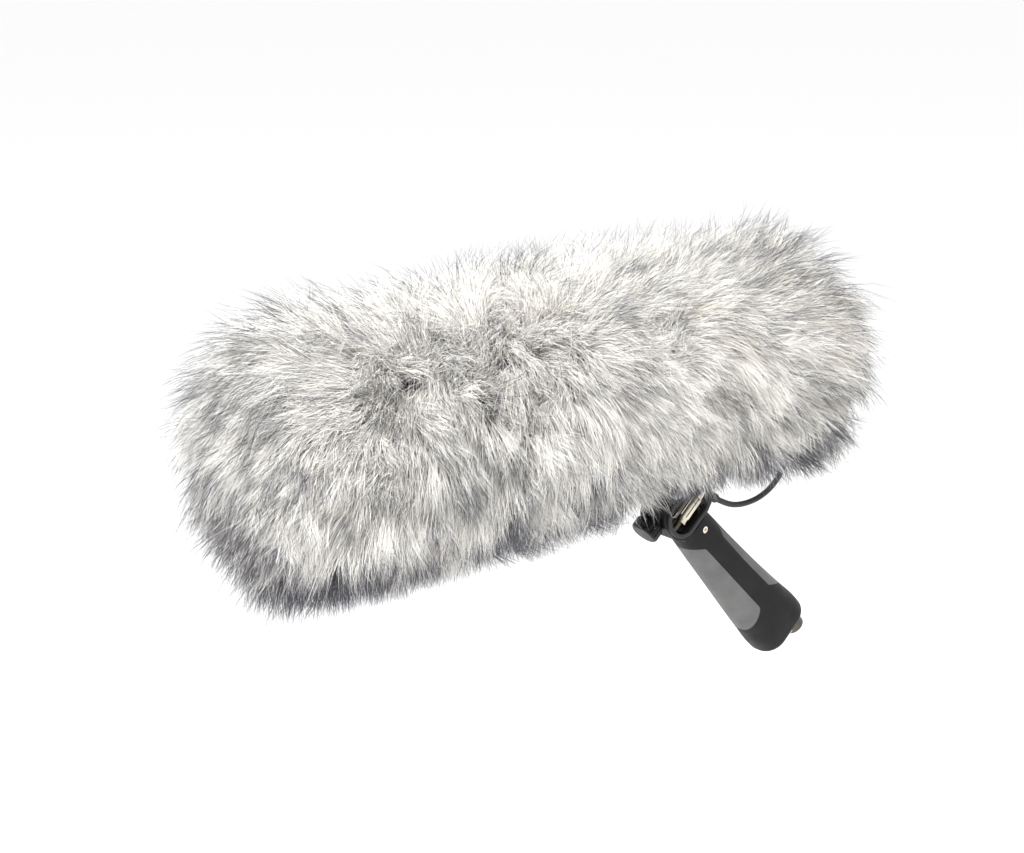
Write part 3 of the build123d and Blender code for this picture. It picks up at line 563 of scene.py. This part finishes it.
def flat_to(vectors, outward):
    """The part of each vector that lies along the surface."""
    return vectors - outward * np.sum(vectors * outward, 1, keepdims=True)


def sample(random, count):
    """Shares and angles spread evenly over the pile's outer surface."""
    weight = np.cumsum(PILE_LINE[:, 1])
    share = np.interp(random.uniform(0, weight[-1], count), weight, np.linspace(0, 1, len(weight)))
    return share, random.uniform(0, 2 * math.pi, count)


def nearest(places, points):
    """The number of the nearest place to each point."""
    tree = KDTree(len(places))
    for number, place in enumerate(places):
        tree.insert(place, number)
    tree.balance()
    return np.array([tree.find(point)[1] for point in points])


def combing(places, outward):
    """How far tips lie over, and which way: a slow swirl, a finer tangle and a droop."""
    swirl = waves(places, *SWIRL) * SWIRL_LEAN
    tangle = waves(places, *TANGLE) * TANGLE_LEAN
    return flat_to(swirl + tangle + np.array(DROOP), outward)


def bunches(random, count, lean_spread, length_spread):
    """Where a number of bunches of hair stand, which way is out, and their own leans and lengths."""
    share, angle = sample(random, count)
    out = on_surface(PILE_LINE, share, angle)
    normal = unit(out - on_surface(BACKING_LINE, share, angle))
    lean = flat_to(random.normal(size=(count, 3)) * lean_spread, normal)
    length = 1 + length_spread * random.normal(size=count).clip(-MOST_SPREADS, MOST_SPREADS)
    return out, normal, lean, length


def make_clumps(random):
    """Where the clumps stand, their tips, lengths and darkness, and the darkness of their tufts."""
    tuft_out, tuft_normal, tuft_lean, tuft_length = bunches(random, TUFTS, TUFT_LEAN, TUFT_LENGTHS)
    tuft_lean += combing(tuft_out, tuft_normal)
    tuft_dark = random.normal(size=TUFTS)
    out, normal, lean, length = bunches(random, CLUMPS, CLUMP_LEAN, CLUMP_LENGTHS)
    tuft = nearest(tuft_out, out)
    inward = flat_to(tuft_out[tuft] - out, normal)
    tip = out + lean + tuft_lean[tuft] + inward * CLUMP_INWARD
    dark = 0.75 * tuft_dark[tuft] + 0.6 * random.normal(size=CLUMPS)
    return out, tip, tuft_length[tuft] * length, dark, tuft_dark[tuft]


def bend_strands(random, root, out, guard, under, clump_tip, clump_length):
    """The bend and the tip of each strand, which stands up and then leans with its clump."""
    normal = unit(out - root)
    own_tip = out + combing(out, normal) + random.normal(size=out.shape) * STRAY
    own_tip[guard] += random.normal(size=(guard.sum(), 3)) * GUARD_STRAY
    gather = np.where(guard, GUARD_GATHER, random.uniform(*GATHER, STRANDS))
    gather = np.where(under, UNDERCOAT_GATHER, gather)[:, None]
    tip = own_tip * (1 - gather) + clump_tip * gather
    depth = np.linalg.norm(out - root, axis=1)
    length = np.hypot(depth, LEAN_LENGTH * np.linalg.norm(tip - out, axis=1))
    length *= clump_length
    length *= random.triangular(*LENGTHS, STRANDS)
    length = np.where(guard, length * random.uniform(*GUARD_LENGTHS, STRANDS), length)
    length = np.where(under, length * random.uniform(*UNDERCOAT_LENGTHS, STRANDS), length)
    upright = normal * length[:, None]
    tip = root + unit(tip - root) * length[:, None]
    bend = root + upright * BEND_HEIGHT + random.normal(size=out.shape) * BEND_STRAY
    bend += (tip - root - upright) * BEND_LEAN
    tip[:, 2] -= TIP_DROOP
    return bend, tip


def shade_strands(random, out, guard, under, clump_dark, tuft_dark):
    """Shades of each strand's foot, middle and tip: darker to the rear and in dark clumps, with painted
    shade that darkens the underside and deepens the clumps there.
    """
    patch = waves(out, *PATCHES)[:, 0] + 0.4 * random.normal(size=STRANDS)
    # Painted shade: strands below the axis get darker shades, the clumps' contrast grows downwards, and
    # the belly band is darkest.
    low = (-out[:, 2] / FUR_R).clip(-1, 1)
    painted_underside_shade = ((low + 0.2 * tuft_dark - 0.46) / 0.34).clip(0, 1)
    rear = out[:, 0] / HALF_LENGTH
    clump_contrast_and_shade = 0.4 + 0.9 * low.clip(0, 1)
    tone_and_painted_shade = 0.7 * patch + 0.42 * low + 0.75 * rear + 3.4 * painted_underside_shade + clump_contrast_and_shade * clump_dark
    foot = np.digitize(tone_and_painted_shade, SHADE_STEPS)
    # More dark tips below is painted shade; more dark tips at the ends and on top is the fur's own
    # colour.
    dark = clump_dark + 0.7 * random.normal(size=STRANDS) + 0.6 * low.clip(0, 1)
    dark += 1.5 * painted_underside_shade + 0.6 * abs(rear) ** 3 + 0.35 * low.clip(-1, 0) ** 2
    tip = np.where(dark > SLATE_TIP, SLATE_HAIR, np.where(dark > GREY_TIP, GREY_HAIR, foot))
    tip = np.where(guard & (dark > GUARD_SLATE_TIP), SLATE_HAIR, tip)
    tip = np.where(under, foot, tip)
    middle = np.where(guard & (dark > GUARD_GREY_MIDDLE), GREY_HAIR, foot)
    middle = np.where(guard & (dark > GUARD_SLATE_MIDDLE), SLATE_HAIR, middle)
    return foot, middle, tip


def make_strands():
    """Roots, bends, tips, radii and shades of all strands from front to rear, about the middle."""
    random = np.random.default_rng(SEED)
    clump_out, *clump_traits = make_clumps(random)
    share, angle = sample(random, STRANDS)
    out = on_surface(PILE_LINE, share, angle)
    root = on_surface(BACKING_LINE, share, angle)
    clump = nearest(clump_out, out)
    clump_tip, clump_length, clump_dark, tuft_dark = [trait[clump] for trait in clump_traits]
    kind = random.uniform(0, 1, STRANDS)
    guard = kind < GUARD_SHARE
    under = kind > 1 - UNDERCOAT_SHARE
    bend, tip = bend_strands(random, root, out, guard, under, clump_tip, clump_length)
    radius = random.uniform(*RADII_MM, STRANDS) * MM
    radius = np.where(guard, GUARD_RADIUS, radius)
    radius = np.where(under, radius * UNDERCOAT_GIRTH, radius)
    for points in (bend, tip):
        trim_over_window(points)
        part_from_slot(points)
        part_from_lead(root, points)
    stay_inside(tip)
    shades = shade_strands(random, out, guard, under, clump_dark, tuft_dark)
    keep = on_cloth(root)
    order = np.argsort(share[keep], kind="stable")
    return [column[keep][order] for column in (root, bend, tip, radius, *shades)]


def trim_over_window(points):
    """The pile is shorter beside the grip, where hands and the window rub it."""
    x, _, z = points.T
    middle_x = (SLOT_LOW.x + SLOT_HIGH.x) / 2 - AXIS.x
    away = (abs(x - middle_x) / TRIM_REACH).clip(0, 1)
    lowest = -(TRIM_DEPTH + TRIM_EASE * away**2)
    points[:, 2] = np.where(z < lowest, lowest + (z - lowest) * TRIM_KEEP, z)


def part_from_slot(points):
    """Strands beside the saddle's slot stand back from the room that the grip swings in."""
    x, y, z = points.T
    from_front = x - (SLOT_LOW - AXIS).x
    from_rear = (SLOT_HIGH - AXIS).x - x
    along = (from_front >= SWING_END) & (from_rear >= SWING_END)
    inside = along & (abs(y) < SWING_HALF_WIDTH) & (z < SWING_TOP)
    points[inside, 1] = np.where(y[inside] < 0, -SWING_HALF_WIDTH, SWING_HALF_WIDTH)


def part_from_lead(root, points):
    """Strands near the lead keep to their own side of it."""
    side = np.where(root[:, 1] < 0, -1, 1)
    x, y, z = points.T
    near = (x > LEAD_FRONT) & (z < LEAD_TOP) & (abs(root[:, 1]) < LEAD_NEAR)
    crossing = near & (side * y < LEAD_PARTING)
    points[crossing, 1] = side[crossing] * LEAD_PARTING


def stay_inside(tip):
    """Keeps the longest tips close to the pile's outer surface."""
    reach = np.hypot(tip[:, 1], tip[:, 2])
    tip[:, 1:] *= np.minimum(1, TIP_REACH / reach)[:, None]
    tip[:, 0] = tip[:, 0].clip(-HALF_LENGTH - END_REACH, HALF_LENGTH + END_REACH)


def on_cloth(places):
    """Which places are on cloth: not in the saddle's slot, nor in the cut for the lead."""
    x, y, z = places.T
    centre = (SLOT_LOW + SLOT_HIGH) / 2 - AXIS
    half = (SLOT_HIGH - SLOT_LOW) / 2
    in_slot = (abs(x - centre.x) < half.x - EDGING_OVERLAP) & (abs(y) < half.y - EDGING_OVERLAP)
    front, rear, half_width = LEAD_CUT
    in_cut = (x > front) & (x < rear) & (abs(y) < half_width)
    return ~((z < 0) & (in_slot | in_cut))


def strand_faces():
    """One strand's faces: quads from ring to ring, triangles to the tip, and the foot."""
    quads = ring_quads(len(RINGS), SIDES)
    tip = len(RINGS) * SIDES
    last = tip - SIDES
    triangles = [(last + side, last + (side + 1) % SIDES, tip) for side in range(SIDES)]
    return [*quads, *triangles, tuple(reversed(range(SIDES)))]


def strand_piece(name, root, bend, tip, radius, foot_shade, middle_shade, tip_shade, spin):
    """One mesh of tapered, three-sided strands."""
    rings = []
    for share in RINGS:
        centre = root * (1 - share) ** 2 + bend * 2 * share * (1 - share) + tip * share**2
        along = unit((bend - root) * (1 - share) + (tip - bend) * share)
        side = unit(np.cross(along, spin))
        other = np.cross(along, side)
        ring_radius = (radius * (1 - share) ** TAPER)[:, None]
        for number in range(SIDES):
            angle = 2 * math.pi * number / SIDES
            rings.append(centre + (side * math.cos(angle) + other * math.sin(angle)) * ring_radius)
    points = np.stack([*rings, tip], 1)
    count, per_strand, _ = points.shape
    faces = strand_faces()
    corners = np.arange(count)[:, None] * per_strand + np.concatenate(faces)
    sizes = [len(face) for face in faces]
    shades = np.repeat(foot_shade[:, None], len(faces), 1)
    shades[:, SIDES : 2 * SIDES] = middle_shade[:, None]
    shades[:, 2 * SIDES : 3 * SIDES] = tip_shade[:, None]
    return fill_mesh(name, points.reshape(-1, 3), corners.ravel(), np.tile(sizes, count), shades.ravel())


def fill_mesh(name, points, corners, sizes, shades):
    """A large mesh, filled from flat arrays."""
    mesh = bpy.data.meshes.new(name)
    mesh.vertices.add(len(points))
    mesh.vertices.foreach_set("co", (points + np.array(AXIS)).astype(np.float32).ravel())
    mesh.loops.add(len(corners))
    mesh.loops.foreach_set("vertex_index", corners.astype(np.int32))
    mesh.polygons.add(len(sizes))
    starts = np.concatenate([[0], np.cumsum(sizes)[:-1]])
    mesh.polygons.foreach_set("loop_start", starts.astype(np.int32))
    mesh.polygons.foreach_set("material_index", shades.astype(np.int32))
    mesh.polygons.foreach_set("use_smooth", np.ones(len(sizes), bool))
    for material in FUR_SHADES:
        mesh.materials.append(material)
    mesh.update(calc_edges=True)
    piece = bpy.data.objects.new(name, mesh)
    bpy.context.scene.collection.objects.link(piece)
    return piece


def make_pile():
    """All strands, in bands along the basket."""
    columns = make_strands()
    spin = np.random.default_rng(SEED + 1).normal(size=columns[0].shape)
    pieces = []
    total = len(columns[0])
    bands = math.ceil(total / STRANDS_PER_PIECE)
    edges = np.linspace(0, total, bands + 1).astype(int)
    for number, (a, b) in enumerate(zip(edges, edges[1:]), 1):
        piece = strand_piece(f"fur_pile_{number:02d}", *[c[a:b] for c in columns], spin[a:b])
        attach(piece, "basket")
        pieces.append(piece)
    return pieces


def make_jacket(pile):
    """The knitted backing that the pile stands on, cut out for the saddle and the lead."""
    shares = np.linspace(BACKING_MARGIN, 1 - BACKING_MARGIN, BACKING_ALONG)
    angles = np.arange(BACKING_AROUND) * 2 * math.pi / BACKING_AROUND
    rings = [on_surface(BACKING_LINE, np.full(BACKING_AROUND, share), angles) for share in shares]
    points = np.concatenate(rings)
    quads = np.array(ring_quads(BACKING_ALONG, BACKING_AROUND))
    corners = points[quads]
    cloth = quads[on_cloth(corners.mean(1))]
    jacket = add_mesh("fur_backing", points + np.array(AXIS), cloth.tolist(), [BACKING])
    thick = jacket.modifiers.new("thickness", "SOLIDIFY")
    thick.thickness = CLOTH_THICKNESS
    thick.offset = -1
    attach(jacket, "basket")
    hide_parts("fur_front_panel", "fur_body_panel", "fur_rear_panel")


make_camera()
make_lead()
make_studio()
finish_nodes()
make_jacket(make_pile())
